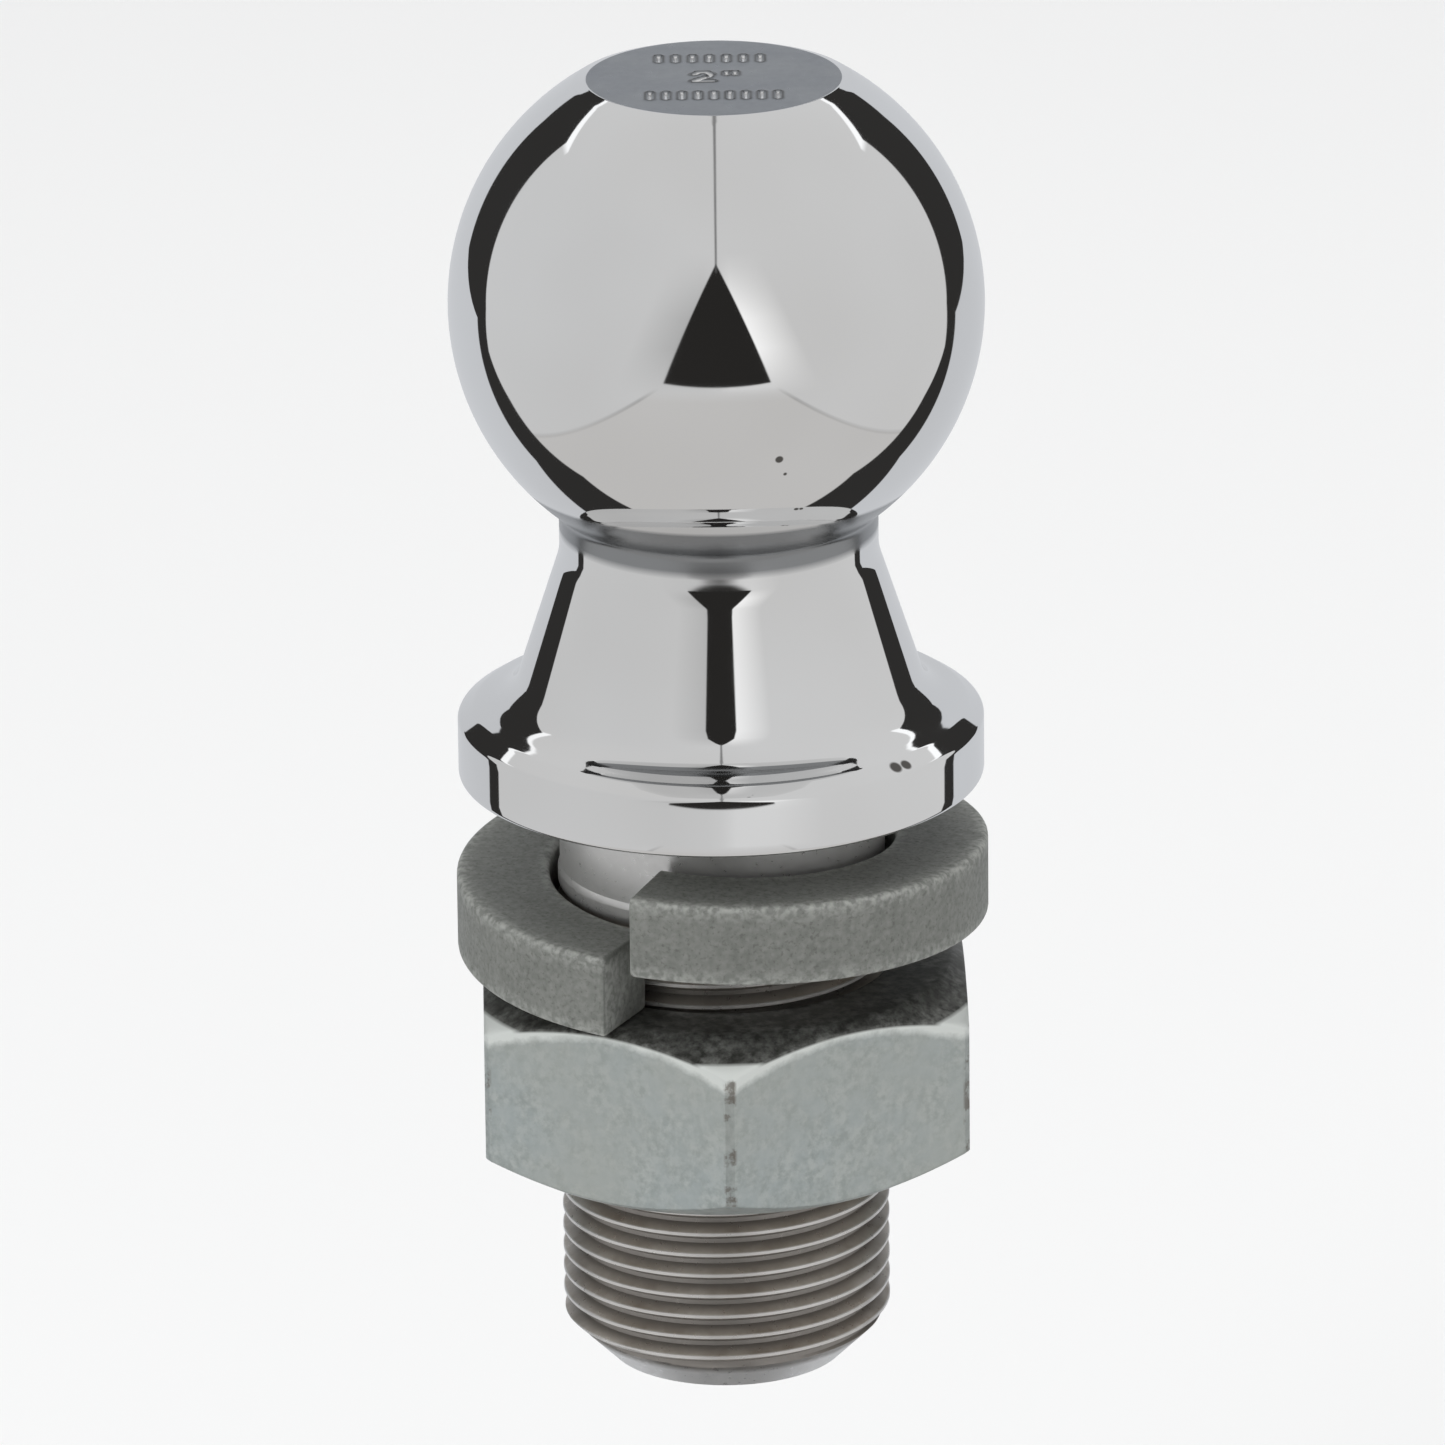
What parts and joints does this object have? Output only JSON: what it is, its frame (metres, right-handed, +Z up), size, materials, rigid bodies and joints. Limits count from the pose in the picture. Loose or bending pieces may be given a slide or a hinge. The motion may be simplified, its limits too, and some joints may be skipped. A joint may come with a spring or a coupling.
{
  "type": "trailer hitch ball",
  "caption": "Chromed flat-topped tow ball on a flared neck and round collar, with a threaded shank, split lock washer and hexagon nut.",
  "frame": {"origin": "centre of the collar's flat underside, on the shank's axis", "axes": "+Z up along the shank's axis towards the ball; -Y is the side the washer's split is nearest"},
  "size_m": [0.051, 0.0534, 0.1281],
  "materials": {
    "stud": "mirror chrome on the ball, neck and collar; bare cut steel on the shank and thread",
    "washer": "dull grey with a fine grain",
    "nut": "satin zinc plate, faintly blue green"
  },
  "bodies": {
    "stud": {"ball_stud": "stud"},
    "washer": {"lock_washer": "washer"},
    "nut": {"hex_nut": "nut"}
  },
  "joints": [
    {"name": "washer_travel", "type": "slide", "parent": "stud", "child": "washer", "axis": [0, 0, 1], "range_m": [-0.08509, 0.0043]},
    {"name": "nut_turn", "type": "hinge", "parent": "washer", "child": "nut", "pos_m": [0, 0, -0.028], "axis": [0, 0, 1], "range_deg": [-14400, 720]}
  ],
  "couplings": [
    {"joint": "washer_travel", "follows": "nut_turn", "m_per_rad": 0.00033688}
  ]
}
